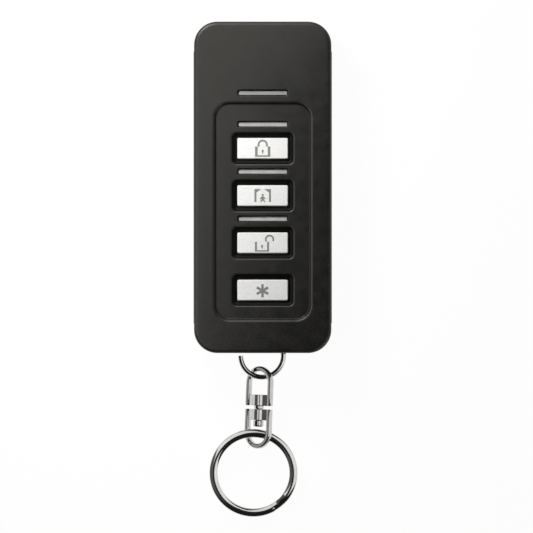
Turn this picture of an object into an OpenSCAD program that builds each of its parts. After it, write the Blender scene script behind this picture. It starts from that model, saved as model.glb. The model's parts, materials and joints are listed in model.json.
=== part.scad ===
// Alarm key fob: a two-shell remote with four keys, four light bars and a swivel key-ring chain.
// It lies on its back. The origin is the middle of the back face, +Y runs to the top end,
// +Z comes out of the keys, and all lengths are millimetres.

/* [Case] */
// Width of the sunk panel round the keys
panel_w = 22.8; // [20:0.1:26]
// Face left on each side of the panel
side_margin = 4.2; // [3.4:0.1:6]
// Face left above the panel
top_margin = 18; // [16:0.1:24]
// Face left below the panel
bottom_margin = 7; // [6.4:0.1:12]
// From the panel's top edge to the middle of the first key
panel_lead = 10.8; // [10:0.1:14]
// From the middle of the last key to the panel's bottom edge
panel_tail = 7.3; // [6:0.1:10]
// Depth of the sunk panel
panel_depth = 0.75; // [0.3:0.05:1]
// Corner radius of the panel at its rim
panel_r = 3.9; // [2:0.1:5]
// Width of the panel's sloped edge
panel_slope = 0.6; // [0.2:0.1:1.2]
// Corner radius of the case seen from the front
corner_r = 5.3; // [4:0.1:8]
// Rounding of the front edge
face_edge_r = 0.7; // [0.3:0.1:1]
// Rounding of the back edge
back_edge_r = 1.2; // [0.4:0.1:1.4]
// Wall of both shells
wall = 1.5; // [1.2:0.1:2]
// Floor of the rear shell
floor_t = 1.2; // [1:0.1:2]
// Plate of the front shell under the sunk panel
plate_t = 1.7; // [1.5:0.1:2.4]
// How far the rear shell stops below the circuit board
part_drop = 0.4; // [0.2:0.1:0.8]
// Height of the lip that locates the front shell
lip_h = 0.9; // [0.5:0.1:1.2]
// Clearance round the lip
lip_gap = 0.1; // [0.05:0.05:0.2]
// Length of the raised rails on the two long sides
rail_l = 61.8; // [40:0.1:64]
// Height of a rail, across the thickness of the case
rail_h = 2.2; // [1:0.1:2.6]
// How far a rail stands out
rail_out = 0.12; // [0.05:0.01:0.3]

/* [Keys] */
// Number of keys
key_count = 4; // [4:1:4]
// Distance from key to key
key_pitch = 10.73; // [10:0.01:13]
// Width of a key cap
key_w = 11.5; // [9:0.1:13]
// Length of a key cap along the case
key_l = 4.7; // [4:0.1:5.2]
// How far a key cap lies below the panel
key_sink = 0.2; // [0:0.05:0.5]
// Bevel round the top of a key cap
key_bevel = 0.15; // [0.1:0.05:0.4]
// Corner radius of a key cap
key_r = 0.35; // [0.2:0.05:0.8]
// Gap between a key cap and the case
key_gap = 0.45; // [0.2:0.05:0.6]
// Travel of a key
key_travel = 0.5; // [0.2:0.05:0.8]
// Thickness of the flange that holds a key in
flange_t = 0.7; // [0.5:0.1:1]
// How far the flange reaches under the plate at the sides
flange_reach = 0.4; // [0.3:0.05:0.6]
// Clearance between a key's flange and its guide or the plate
flange_gap = 0.08; // [0.05:0.01:0.15]
// Wall of the guide frame round a flange
guide_t = 0.7; // [0.5:0.1:0.8]
// Depth of the guide frame
guide_h = 1.2; // [0.6:0.1:1.2]
// Width of the sloped wall of the well round a key opening
well_slope = 0.4; // [0.2:0.05:0.8]
// Width of the well's flat floor
well_floor = 0.45; // [0.3:0.05:0.8]
// Depth of the well
well_depth = 0.75; // [0.3:0.05:1]
// Corner radius of the well at its rim
well_r = 1.1; // [0.6:0.1:2]

/* [Light bars] */
// Length of a light bar
bar_w = 11.25; // [8:0.05:13]
// Width of a light bar
bar_h = 1.15; // [0.6:0.05:1.2]
// Clearance round a light bar
bar_gap = 0.06; // [0.03:0.01:0.15]
// Width of the sloped edge round a light bar's slot
slot_slope = 0.07; // [0.05:0.01:0.3]
// Depth of the sloped edge
slot_depth = 0.4; // [0.3:0.05:0.6]
// How far a light bar lies below the surface
bar_sink = 0.45; // [0.05:0.05:0.5]
// Middle of a light bar above the middle of its key
bar_rise = 5.5; // [5.3:0.05:5.6]
// Status bar above the first key's bar
status_rise = 7.14; // [6:0.01:9]
// Reach of a bar's flange under the plate
bar_flange = 0.45; // [0.35:0.05:0.6]
// Thickness of a bar's flange
bar_flange_t = 0.6; // [0.4:0.1:0.8]

/* [Electronics] */
// Thickness of the circuit board
board_t = 1; // [0.8:0.1:1.6]
// Clearance round the circuit board
board_gap = 0.4; // [0.2:0.1:0.8]
// Side of a switch housing
switch_w = 4.5; // [4:0.1:5]
// Height of a switch housing
switch_h = 1.3; // [1.2:0.1:2]
// Thickness of a switch's floor
switch_floor = 0.03; // [0.02:0.01:0.1]
// Diameter of a switch plunger
plunger_d = 2; // [1.5:0.1:2.6]
// Clearance round a plunger
plunger_gap = 0.06; // [0.03:0.01:0.1]
// Diameter of the coin cell
cell_d = 20; // [16:0.1:20.5]
// Thickness of the coin cell
cell_t = 3.2; // [2.5:0.1:3.6]
// How far the coin cell's cap stands above its can
cell_step = 0.64; // [0.3:0.01:0.9]
// Width of the coin cell's rim round its cap
cell_rim = 1.2; // [0.6:0.1:2]
// Middle of the coin cell above the middle of the board
cell_rise = 8; // [7:0.1:9]
// Clearance between the coin cell and its nest
nest_gap = 0.3; // [0.2:0.05:0.5]
// Height of the nest's walls
nest_h = 1.6; // [1:0.1:2]
// Thickness of the battery clip's sheet
clip_t = 0.2; // [0.15:0.05:0.3]
// Width of the battery clip
clip_w = 5; // [3:0.1:8]
// Clearance between the coin cell and what holds it
cell_gap = 0.1; // [0.05:0.05:0.2]
// Thickness of the negative contact
contact_t = 0.15; // [0.1:0.05:0.2]
// Length of the negative contact
contact_l = 12; // [8:0.5:16]
// Width of the negative contact
contact_w = 5; // [3:0.1:7]
// Corner radius of the circuit board
board_r = 1; // [0.5:0.1:2]
// Diameter of the antenna's wire
antenna_d = 0.8; // [0.5:0.1:1.2]
// Bend of the antenna's wire
antenna_bend = 2; // [1.2:0.1:3]
// Length of each of the antenna's legs
antenna_leg = 10; // [6:0.5:12]
// Antenna to the board's top edge
antenna_inset = 2; // [1:0.1:3]
// Width of an indicator LED
led_w = 1.6; // [1:0.1:2]
// Length of an indicator LED along the case
led_l = 0.8; // [0.5:0.1:1.2]
// Height of an indicator LED
led_h = 0.6; // [0.4:0.05:0.8]
// Side of the radio chip
radio_w = 5; // [3:0.1:6]
// Height of the radio chip
radio_h = 0.9; // [0.6:0.1:1.2]
// Radio chip to the left of the middle
radio_shift = 4; // [2:0.1:6]
// Middle of the radio chip below the coin cell
radio_drop = 6; // [5:0.1:7]
// Width of the crystal can
crystal_w = 10; // [8:0.1:11]
// Length of the crystal can along the case
crystal_l = 3.8; // [3:0.1:4.6]
// Height of the crystal can
crystal_h = 2.6; // [2:0.1:3]
// Middle of the crystal can below the coin cell
crystal_drop = 12; // [11.5:0.1:13]
// Width of a small chip component
piece_w = 1.6; // [1:0.1:2]
// Length of a small chip component along the case
piece_l = 0.8; // [0.5:0.1:1.2]
// Height of a small chip component
piece_h = 0.5; // [0.3:0.05:0.8]
// Column of chip components to each side of the middle
piece_shift = 9.6; // [8:0.1:10.5]
// Distance from chip component to chip component
piece_pitch = 2.4; // [1.6:0.1:3]
// Radius of a support post under the board
support_r = 1; // [0.8:0.1:1.2]
// Middle of a support post from the board's edge
support_inset = 1.5; // [1.3:0.1:2]

/* [Screws] */
// Diameter of a screw's head
screw_head_d = 3.4; // [3:0.1:3.6]
// Height of a screw's head
screw_head_h = 1.2; // [0.8:0.1:1.4]
// How far a screw's head lies below the back face
screw_sink = 0.4; // [0.2:0.1:0.6]
// Diameter of a screw's shank
screw_d = 1.7; // [1.4:0.1:2]
// Length of the cross in a screw's head
drive_l = 2; // [1.4:0.1:2.4]
// Width of the cross in a screw's head
drive_w = 0.4; // [0.3:0.05:0.6]
// Depth of the cross in a screw's head
drive_h = 0.6; // [0.3:0.1:0.8]
// Length of a screw's shank
screw_l = 6; // [4.4:0.1:6.2]
// Clearance round a screw's head and shank
screw_gap = 0.2; // [0.1:0.05:0.3]
// Clearance round a screw in the front shell
pilot_gap = 0.05; // [0.02:0.01:0.1]
// Wall of a screw boss
boss_t = 0.8; // [0.6:0.1:1]
// Wall of a screw boss in the front shell
pilot_t = 1.2; // [0.8:0.1:1.4]

/* [Case ring] */
// Outer diameter of the case ring
ring_od = 10.9; // [10:0.1:12]
// Diameter of the case ring's wire
ring_wire = 1.2; // [1:0.05:1.3]
// Middle of the case ring below the case's edge
ring_drop = 0.65; // [0.3:0.05:1.2]
// Case ring to the left of the middle
ring_shift = 0.16; // [0:0.01:0.5]
// Opening of the case ring, in degrees
ring_split = 30; // [10:1:40]
// Radius of the post that the case ring goes round
post_r = 1.3; // [1:0.05:1.4]
// Clearance between the post and the case ring
post_gap = 0.2; // [0.1:0.05:0.4]
// Clearance round the case ring in its slot, up and down
slot_gap = 0.5; // [0.3:0.05:0.6]
// Room for the case ring to swing, to each side
swing_room = 1.3; // [1.2:0.05:2]
// Room behind the case ring
ring_room = 0.45; // [0.4:0.05:0.8]
// Wall between the case ring and the electronics
partition_t = 0.7; // [0.5:0.1:1]

/* [Swivel] */
// Chain to the left of the middle
chain_shift = 0.6; // [0:0.05:0.8]
// Lean of the chain to the left, in degrees
chain_lean = 2; // [0:0.5:3]
// Roll of the links about the chain, in degrees
link_roll = 40; // [38:1:50]
// Width of a link
link_w = 7.5; // [7.2:0.1:8]
// Length of a link
link_l = 9; // [8.6:0.1:11]
// Thickness of a link's strap
strap_t = 1.15; // [0.9:0.05:1.2]
// Depth of a link's strap
strap_d = 1.3; // [1:0.05:1.35]
// Rounding of a link's strap
strap_r = 0.4; // [0.1:0.05:0.45]
// Height of a link's base
base_h = 2.5; // [2:0.1:3]
// Depth of a link's base
base_d = 1.1; // [0.8:0.05:1.2]
// Diameter of the hub in a link's base
hub_d = 2.9; // [2.6:0.1:3.2]
// Diameter of the swivel pin
pin_d = 1.4; // [1:0.1:1.6]
// Clearance round the swivel pin in the lower link
pin_gap = 0.06; // [0.03:0.01:0.1]
// Clearance round the swivel pin in the upper link
pin_seat = 0.015; // [0.01:0.005:0.03]
// Diameter of the pin's collar between the links
collar_d = 2.2; // [2:0.1:2.6]
// Gap between the two links
link_gap = 0.8; // [0.5:0.05:1.2]
// Diameter of the pin's head
head_d = 2.35; // [2.2:0.05:2.6]
// Height of the pin's head
head_h = 1.4; // [0.8:0.1:1.5]
// End play of the pin
pin_play = 0.1; // [0.05:0.01:0.2]
// Slack between the case ring and the upper link
upper_slack = 0.75; // [0.6:0.05:1]

/* [Split ring] */
// Outer diameter of the split ring
split_od = 20; // [18:0.1:30]
// Width of the split ring's wire
split_w = 1.8; // [1.4:0.05:1.9]
// Thickness of one coil of the split ring
coil_t = 0.85; // [0.6:0.05:0.9]
// Gap between the two coils
coil_gap = 0.08; // [0.05:0.01:0.1]
// Slack between the split ring and the lower link
lower_slack = 1.45; // [1.2:0.05:1.7]
// Split ring to the left of the chain
split_shift = 0.75; // [0:0.05:0.9]
// Place of the wire's end round the split ring, in degrees
split_end = -34; // [-60:1:-10]
// Share of a turn in which the wire steps from coil to coil
split_step = 0.05; // [0.04:0.01:0.1]
// Share of a turn that the wire's two ends stop short of each other
split_notch = 0.065; // [0.05:0.005:0.1]

/* [Hidden] */
$fn = 64;
// Overshoot of a cut
cut = 0.5;
// Thin slice for a blended cut
slice = 0.01;
// Smallest corner radius
least_r = 0.1;

// Lengths that follow from the keys and the margins
panel_l = panel_lead + (key_count - 1) * key_pitch + panel_tail;
body_w = panel_w + 2 * side_margin;
body_l = top_margin + panel_l + bottom_margin;
top_y = body_l / 2;
bottom_y = -body_l / 2;
panel_y = top_y - top_margin - panel_l / 2;
first_key_y = top_y - top_margin - panel_lead;
key_y = [for (i = [0 : key_count - 1]) first_key_y - i * key_pitch];
bar_y = [for (i = [0 : key_count - 2]) key_y[i] + bar_rise];
status_y = bar_y[0] + status_rise;

// Levels from the back face up
clip_z = floor_t + cell_gap;
cell_z = clip_z + clip_t + cell_gap;
contact_z = cell_z + cell_t + cell_gap / 2;
board_z = contact_z + contact_t;
board_top = board_z + board_t;
part_z = board_z - part_drop;
switch_top = board_top + switch_h;
flange_z = switch_top + key_travel;
plate_z = flange_z + flange_t + flange_gap;
panel_z = plate_z + plate_t;
face_z = panel_z + panel_depth;
key_top = panel_z - key_sink;
chain_z = (floor_t + part_z) / 2;

// Insides of the shells
inner_w = body_w - 2 * wall;
inner_l = body_l - 2 * wall;
inner_r = corner_r - wall;
lip_inset = wall / 2;

// Key openings, flanges and guides
opening_w = key_w + 2 * key_gap;
opening_l = key_l + 2 * key_gap;
flange_w = opening_w + 2 * flange_reach;
flange_l = opening_l + 2 * flange_reach;
well_edge = well_slope + well_floor;
opening_r = max(well_r - well_edge, least_r);

// Screws, case ring and circuit board
boss_r = screw_head_d / 2 + screw_gap + boss_t;
pilot_boss_r = screw_d / 2 + screw_gap + pilot_t;
ring_r = (ring_od - ring_wire) / 2;
ring_y = bottom_y - ring_drop;
post_y = ring_y + ring_r - ring_wire / 2 - post_gap - post_r;
slot_w = ring_od + 2 * swing_room;
slot_h = ring_wire + 2 * slot_gap;
partition_y = ring_y + ring_od / 2 + ring_room;
screw_y = [top_y - wall - boss_r - lip_h, partition_y + boss_r];
seat_z = screw_sink + screw_head_h;
board_top_y = screw_y[0] - pilot_boss_r - board_gap;
board_bottom_y = screw_y[1] + pilot_boss_r + board_gap;
board_w = inner_w - 2 * board_gap;
board_l = board_top_y - board_bottom_y;
board_y = (board_top_y + board_bottom_y) / 2;
support_x = board_w / 2 - support_inset;
support_y = board_l / 2 - support_inset;
cell_y = board_y + cell_rise;
nest_r = cell_d / 2 + nest_gap;

// Chain, measured along itself from the lowest point of the case ring's wire
chain_y = ring_y - ring_r;
upper_base = ring_wire / 2 + upper_slack + strap_t - link_l;
lower_base = upper_base - link_gap;
arch_r = (link_w - strap_t) / 2;
pin_top = upper_base + base_h;
head_y = lower_base - base_h - pin_play;
split_r = (split_od - split_w) / 2;
split_t = 2 * coil_t + coil_gap;
crossing_y = lower_base - link_l + strap_t + lower_slack + split_w / 2;
split_tilt = asin((chain_z - split_t / 2) / (2 * split_r + split_w / 2));

case_color = [0.23, 0.23, 0.22];
key_color = [0.86, 0.86, 0.85];
bar_color = [0.64, 0.64, 0.64];
chrome_color = [0.80, 0.81, 0.82];
brass_color = [0.78, 0.66, 0.36];

// Plain outlines

module rounded_rect(w, l, r) {
    square([w - 2 * r, l], center = true);
    square([w, l - 2 * r], center = true);
    for (sx = [-1, 1], sy = [-1, 1])
        translate([sx * (w / 2 - r), sy * (l / 2 - r)])
            circle(r);
}

module stadium(w, h) {
    square([w - h, h], center = true);
    for (s = [-1, 1])
        translate([s * (w - h) / 2, 0])
            circle(d = h);
}

module rounded_prism(w, l, r, z0, z1) {
    translate([0, 0, z0])
        linear_extrude(z1 - z0)
            rounded_rect(w, l, r);
}

// Half of a slab's cross-section, with its upper corner rounded
module edge_profile(reach, h, edge) {
    square([reach - edge, h]);
    square([reach, h - edge]);
    translate([reach - edge, h - edge])
        circle(edge);
}

// Slab with round corners in plan and a rounded upper edge all the way round
module eased_slab(w, l, r, h, edge) {
    side_w = w - 2 * r;
    side_l = l - 2 * r;
    translate([-side_w / 2, -side_l / 2, 0])
        cube([side_w, side_l, h]);
    for (turn = [0, 180]) {
        rotate([0, 0, turn])
            translate([side_w / 2, side_l / 2, 0])
                rotate([90, 0, 0])
                    linear_extrude(side_l)
                        edge_profile(r, h, edge);
        rotate([0, 0, turn + 90])
            translate([side_l / 2, side_w / 2, 0])
                rotate([90, 0, 0])
                    linear_extrude(side_w)
                        edge_profile(r, h, edge);
    }
    for (i = [0 : 3])
        translate([(i == 0 || i == 3 ? 1 : -1) * side_w / 2, (i < 2 ? 1 : -1) * side_l / 2, 0])
            rotate([0, 0, 90 * i])
                rotate_extrude(angle = 90)
                    edge_profile(r, h, edge);
}

// Cut with sloped walls: w by l at its rim, narrower by the slope at its floor
module dished_cut(w, l, r, depth, slope) {
    floor_r = max(r - slope, least_r);
    hull() {
        linear_extrude(slice)
            rounded_rect(w - 2 * slope, l - 2 * slope, floor_r, $fn = 32);
        translate([0, 0, depth])
            linear_extrude(slice)
                rounded_rect(w, l, r, $fn = 32);
    }
}

// Outline across a block whose upper rim leans out by the slope, or in where the slope is negative
module rim_profile(w, h, rim_h, slope) {
    polygon([
        [-w / 2, 0], [w / 2, 0],
        [w / 2, h - rim_h], [w / 2 + slope, h],
        [-w / 2 - slope, h], [-w / 2, h - rim_h]
    ]);
}

// Block with such a rim on all four sides
module rimmed_block(w, l, h, rim_h, slope) {
    reach_w = w + 2 * abs(slope);
    reach_l = l + 2 * abs(slope);
    intersection() {
        translate([0, reach_l / 2, 0])
            rotate([90, 0, 0])
                linear_extrude(reach_l)
                    rim_profile(w, h, rim_h, slope);
        translate([-reach_w / 2, 0, 0])
            rotate([90, 0, 90])
                linear_extrude(reach_w)
                    rim_profile(l, h, rim_h, slope);
    }
}

module at_supports() {
    for (sx = [-1, 1], sy = [-1, 1])
        translate([sx * support_x, board_y + sy * support_y, 0])
            children();
}

module at_screws() {
    for (y = screw_y)
        translate([0, y, 0])
            children();
}

// Case

module key_guide(y) {
    room = [flange_w + 2 * flange_gap, flange_l + 2 * flange_gap];
    translate([0, y, plate_z - guide_h])
        linear_extrude(guide_h + slice)
            difference() {
                square([room[0] + 2 * guide_t, room[1] + 2 * guide_t], center = true);
                square(room, center = true);
            }
}

module bar_slot(y, surface_z) {
    rim_h = slot_depth + cut;
    translate([0, y, plate_z - cut])
        rimmed_block(
            bar_w + 2 * bar_gap, bar_h + 2 * bar_gap, surface_z - plate_z + 2 * cut,
            rim_h, slot_slope * rim_h / slot_depth);
}

module front_shell() {
    color(case_color)
        difference() {
            union() {
                difference() {
                    translate([0, 0, part_z])
                        eased_slab(body_w, body_l, corner_r, face_z - part_z, face_edge_r);
                    rounded_prism(inner_w, inner_l, inner_r, part_z - cut, plate_z);
                    rounded_prism(
                        body_w - 2 * lip_inset, body_l - 2 * lip_inset, corner_r - lip_inset,
                        part_z - cut, part_z + lip_h + lip_gap);
                }
                for (y = key_y)
                    key_guide(y);
                at_screws()
                    translate([0, 0, part_z])
                        cylinder(r = pilot_boss_r, h = plate_z - part_z + slice);
                at_supports()
                    translate([0, 0, board_top])
                        cylinder(r = support_r, h = plate_z - board_top + slice);
                translate([0, post_y, part_z])
                    cylinder(r = post_r, h = plate_z - part_z + slice);
            }
            translate([0, panel_y, panel_z])
                dished_cut(panel_w, panel_l, panel_r, panel_depth, panel_slope);
            for (y = key_y) {
                translate([0, y, panel_z - well_depth])
                    dished_cut(
                        opening_w + 2 * well_edge, opening_l + 2 * well_edge, well_r,
                        well_depth, well_slope);
                translate([0, y, 0])
                    rounded_prism(
                        opening_w, opening_l, opening_r,
                        plate_z - cut, panel_z - well_depth + slice);
            }
            bar_slot(status_y, face_z);
            for (y = bar_y)
                bar_slot(y, panel_z);
            at_screws()
                translate([0, 0, part_z - cut])
                    cylinder(d = screw_d + 2 * pilot_gap, h = seat_z + screw_l + cut - part_z + cut);
        }
}

module case_lip() {
    translate([0, 0, part_z - slice])
        linear_extrude(lip_h + slice)
            difference() {
                rounded_rect(
                    body_w - 2 * (lip_inset + lip_gap), body_l - 2 * (lip_inset + lip_gap),
                    corner_r - lip_inset - lip_gap);
                rounded_rect(inner_w, inner_l, inner_r);
                translate([0, post_y])
                    circle(post_r + lip_gap);
            }
}

module cell_nest() {
    for (start = [45, 225])
        translate([0, cell_y, floor_t - slice])
            rotate([0, 0, start])
                rotate_extrude(angle = 90)
                    translate([nest_r, 0])
                        square([boss_t, nest_h]);
}

module rear_shell() {
    color(case_color)
        difference() {
            union() {
                difference() {
                    union() {
                        translate([0, 0, part_z])
                            mirror([0, 0, 1])
                                eased_slab(body_w, body_l, corner_r, part_z, back_edge_r);
                        translate([-body_w / 2 - rail_out, -rail_l / 2, part_z - rail_h - rail_out])
                            cube([body_w + 2 * rail_out, rail_l, rail_h]);
                    }
                    rounded_prism(inner_w, inner_l, inner_r, floor_t, part_z + cut);
                    translate([0, bottom_y + wall + slice, chain_z])
                        rotate([90, 0, 0])
                            linear_extrude(wall + cut)
                                stadium(slot_w, slot_h);
                }
                case_lip();
                cell_nest();
                at_screws()
                    translate([0, 0, floor_t / 2])
                        cylinder(r = boss_r, h = part_z - floor_t / 2);
                at_supports()
                    translate([0, 0, floor_t - slice])
                        cylinder(r = support_r, h = board_z - floor_t + slice);
                translate([0, post_y, floor_t - slice])
                    cylinder(r = post_r, h = part_z - floor_t + slice);
                translate([-inner_w / 2 - slice, partition_y, floor_t - slice])
                    cube([inner_w + 2 * slice, partition_t, part_z - floor_t + slice]);
            }
            at_screws() {
                translate([0, 0, -cut])
                    cylinder(d = screw_head_d + 2 * screw_gap, h = seat_z + cut);
                cylinder(d = screw_d + 2 * screw_gap, h = part_z + cut);
            }
        }
}

module case_screws() {
    color(chrome_color)
        at_screws()
            difference() {
                union() {
                    translate([0, 0, screw_sink])
                        cylinder(d = screw_head_d, h = screw_head_h);
                    translate([0, 0, seat_z - slice])
                        cylinder(d = screw_d, h = screw_l + slice);
                }
                for (turn = [0, 90])
                    rotate([0, 0, turn])
                        translate([-drive_l / 2, -drive_w / 2, 0])
                            cube([drive_l, drive_w, screw_sink + drive_h]);
            }
}

// Keys and light bars

module button(y) {
    cap_h = key_top - flange_z;
    color(key_color)
        translate([0, y, flange_z]) {
            translate([-flange_w / 2, -flange_l / 2, 0])
                cube([flange_w, flange_l, flange_t]);
            intersection() {
                rimmed_block(key_w, key_l, cap_h, key_bevel, -key_bevel);
                rounded_prism(key_w, key_l, key_r, 0, cap_h);
            }
        }
}

module plunger(y) {
    foot_z = board_top + key_travel + plunger_gap;
    color([0.15, 0.15, 0.16])
        translate([0, y, foot_z])
            cylinder(d = plunger_d, h = flange_z - foot_z);
}

module light_bar(y, surface_z) {
    flange = [bar_w + 2 * bar_flange, bar_h + 2 * bar_flange, bar_flange_t];
    color(bar_color)
        translate([0, y, plate_z - bar_flange_t]) {
            translate([-flange[0] / 2, -flange[1] / 2, 0])
                cube(flange);
            translate([-bar_w / 2, -bar_h / 2, 0])
                cube([bar_w, bar_h, surface_z - bar_sink - plate_z + bar_flange_t]);
        }
}

module lock_button() { button(key_y[0]); }
module home_button() { button(key_y[1]); }
module unlock_button() { button(key_y[2]); }
module star_button() { button(key_y[3]); }
module lock_plunger() { plunger(key_y[0]); }
module home_plunger() { plunger(key_y[1]); }
module unlock_plunger() { plunger(key_y[2]); }
module star_plunger() { plunger(key_y[3]); }
module status_light_bar() { light_bar(status_y, face_z); }
module lock_light_bar() { light_bar(bar_y[0], panel_z); }
module home_light_bar() { light_bar(bar_y[1], panel_z); }
module unlock_light_bar() { light_bar(bar_y[2], panel_z); }

// Electronics

module chip(x, y, size, side) {
    translate([x - size[0] / 2, y - size[1] / 2, side > 0 ? board_top : board_z - size[2]])
        cube(size);
}

module circuit_board() {
    color([0.10, 0.33, 0.18])
        translate([0, board_y, 0])
            rounded_prism(board_w, board_l, board_r, board_z, board_top);
}

module switch_housings() {
    color([0.72, 0.73, 0.74])
        for (y = key_y)
            difference() {
                chip(0, y, [switch_w, switch_w, switch_h], 1);
                translate([0, y, board_top + switch_floor])
                    cylinder(d = plunger_d + 2 * plunger_gap, h = switch_h + cut);
            }
}

module indicator_leds() {
    color([0.93, 0.92, 0.80])
        for (y = concat([status_y], bar_y))
            chip(0, y, [led_w, led_l, led_h], 1);
}

module radio_chip() {
    color([0.12, 0.12, 0.13])
        chip(-radio_shift, cell_y - cell_d / 2 - radio_drop, [radio_w, radio_w, radio_h], -1);
}

module crystal_can() {
    color(chrome_color)
        translate([0, cell_y - cell_d / 2 - crystal_drop, board_z - crystal_h])
            linear_extrude(crystal_h)
                stadium(crystal_w, crystal_l);
}

module chip_components() {
    color([0.70, 0.62, 0.50])
        for (sx = [-1, 1], step = [-1, 0, 1])
            chip(sx * piece_shift, key_y[2] + step * piece_pitch, [piece_w, piece_l, piece_h], 1);
}

// Loop of wire on the board, open towards the keys
module antenna_wire() {
    half_w = support_x - support_inset - antenna_d / 2;
    color(brass_color)
        translate([0, board_top_y - antenna_inset - antenna_bend, board_top + antenna_d / 2]) {
            for (s = [-1, 1])
                translate([s * half_w, 0, 0])
                    rotate([90, 0, 0])
                        cylinder(d = antenna_d, h = antenna_leg);
            translate([-half_w + antenna_bend, antenna_bend, 0])
                rotate([0, 90, 0])
                    cylinder(d = antenna_d, h = 2 * (half_w - antenna_bend));
            for (s = [0, 1])
                translate([(s == 0 ? 1 : -1) * (half_w - antenna_bend), 0, 0])
                    rotate([0, 0, 90 * s])
                        rotate_extrude(angle = 90)
                            translate([antenna_bend, 0])
                                circle(d = antenna_d);
        }
}

module coin_cell() {
    color(chrome_color)
        translate([0, cell_y, cell_z]) {
            cylinder(d = cell_d, h = cell_t - cell_step);
            cylinder(d = cell_d - 2 * cell_rim, h = cell_t);
        }
}

// Sheet strip under the cell, with a leg up each side to the board
module battery_clip() {
    color(chrome_color)
        translate([0, cell_y + clip_w / 2, 0])
            rotate([90, 0, 0])
                linear_extrude(clip_w) {
                    translate([-nest_r - clip_t, clip_z])
                        square([2 * (nest_r + clip_t), clip_t]);
                    for (s = [-1, 1])
                        translate([s * (nest_r + clip_t / 2) - clip_t / 2, clip_z])
                            square([clip_t, board_z - clip_z]);
                }
}

module negative_contact() {
    color(brass_color)
        translate([0, cell_y, contact_z])
            linear_extrude(contact_t)
                stadium(contact_l, contact_w);
}

// Chain

module case_ring() {
    color(chrome_color)
        translate([-ring_shift, ring_y, chain_z])
            rotate([0, 0, 180])
                rotate_extrude(angle = 360 - ring_split)
                    translate([ring_r, 0])
                        circle(d = ring_wire);
}

// Frame of the hanging chain: its own -Y runs down the chain
module on_chain() {
    translate([-chain_shift, chain_y, chain_z])
        rotate([0, 0, -chain_lean])
            children();
}

// Swivel link with its base at y = 0 and its arch towards +Y
module link(bore_d) {
    arch_y = link_l - link_w / 2;
    difference() {
        union() {
            for (s = [-1, 1])
                translate([s * arch_r, 0, 0])
                    rotate([-90, 0, 0])
                        linear_extrude(arch_y)
                            rounded_rect(strap_t, strap_d, strap_r);
            translate([0, arch_y, 0])
                rotate_extrude(angle = 180)
                    translate([arch_r, 0])
                        rounded_rect(strap_t, strap_d, strap_r);
            translate([-arch_r, 0, -base_d / 2])
                cube([2 * arch_r, base_h, base_d]);
            rotate([-90, 0, 0])
                cylinder(d = hub_d, h = base_h);
        }
        translate([0, -cut, 0])
            rotate([-90, 0, 0])
                cylinder(d = bore_d, h = base_h + 2 * cut);
    }
}

module upper_link() {
    color(chrome_color)
        on_chain()
            translate([0, upper_base, 0])
                rotate([0, -link_roll, 0])
                    link(pin_d + 2 * pin_seat);
}

module lower_link() {
    color(chrome_color)
        on_chain()
            translate([0, lower_base, 0])
                rotate([0, link_roll, 180])
                    link(pin_d + 2 * pin_gap);
}

// Rivet turned in one piece: shank, collar, shank and head, from the top down
module swivel_pin() {
    collar_y = lower_base + pin_play;
    color(chrome_color)
        on_chain()
            rotate([-90, 0, 0])
                rotate_extrude()
                    polygon([
                        [0, head_y - head_h], [head_d / 2, head_y - head_h],
                        [head_d / 2, head_y], [pin_d / 2, head_y],
                        [pin_d / 2, collar_y], [collar_d / 2, collar_y],
                        [collar_d / 2, upper_base], [pin_d / 2, upper_base],
                        [pin_d / 2, pin_top], [0, pin_top]
                    ]);
}

// Height of the split ring's wire after some turns: one coil, a short step, the other coil
function coil_level(turn) =
    let (share = min(max((turn - 1 + split_step) / split_step, 0), 1))
    (share * share * (3 - 2 * share) - 0.5) * (coil_t + coil_gap);

// Oval wire, swept twice round as one piece
module split_ring() {
    rings = 104;
    sides = 16;
    turns = 2 - split_notch;
    section = [
        for (j = [0 : sides - 1])
            let (b = 360 * j / sides)
            [split_w / 2 * cos(b), coil_t / 2 * sin(b)]
    ];
    points = [
        for (i = [0 : rings], p = section)
            let (turn = turns * i / rings, a = split_end + 360 * turn)
            [(split_r + p[0]) * cos(a), (split_r + p[0]) * sin(a), coil_level(turn) + p[1]]
    ];
    walls = [
        for (i = [0 : rings - 1], j = [0 : sides - 1])
            let (p = i * sides + j, q = i * sides + (j + 1) % sides)
            each [[p, q, q + sides], [p, q + sides, p + sides]]
    ];
    caps = [
        [for (j = [sides - 1 : -1 : 0]) j],
        [for (j = [0 : sides - 1]) rings * sides + j]
    ];
    color(chrome_color)
        on_chain()
            translate([-split_shift, crossing_y, 0])
                rotate([split_tilt, 0, 0])
                    translate([0, -split_r, 0])
                        polyhedron(points, concat(walls, caps));
}

front_shell();
rear_shell();
lock_button();
home_button();
unlock_button();
star_button();
lock_plunger();
home_plunger();
unlock_plunger();
star_plunger();
status_light_bar();
lock_light_bar();
home_light_bar();
unlock_light_bar();
circuit_board();
switch_housings();
indicator_leds();
radio_chip();
crystal_can();
chip_components();
antenna_wire();
coin_cell();
battery_clip();
negative_contact();
case_screws();
case_ring();
upper_link();
swivel_pin();
lower_link();
split_ring();
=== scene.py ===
# %% [markdown]
# An alarm key fob: a slim black remote with four silver keys, four light bars and a swivel chain.
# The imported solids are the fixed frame. This lesson dresses them: it rebuilds the visible pieces with
# soft moulded edges, gives every surface a procedural finish, and lights them as a product photograph.

# %% Load the frame
import json
import math

import bmesh
import bpy
from mathutils import Matrix, Quaternion, Vector


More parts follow.
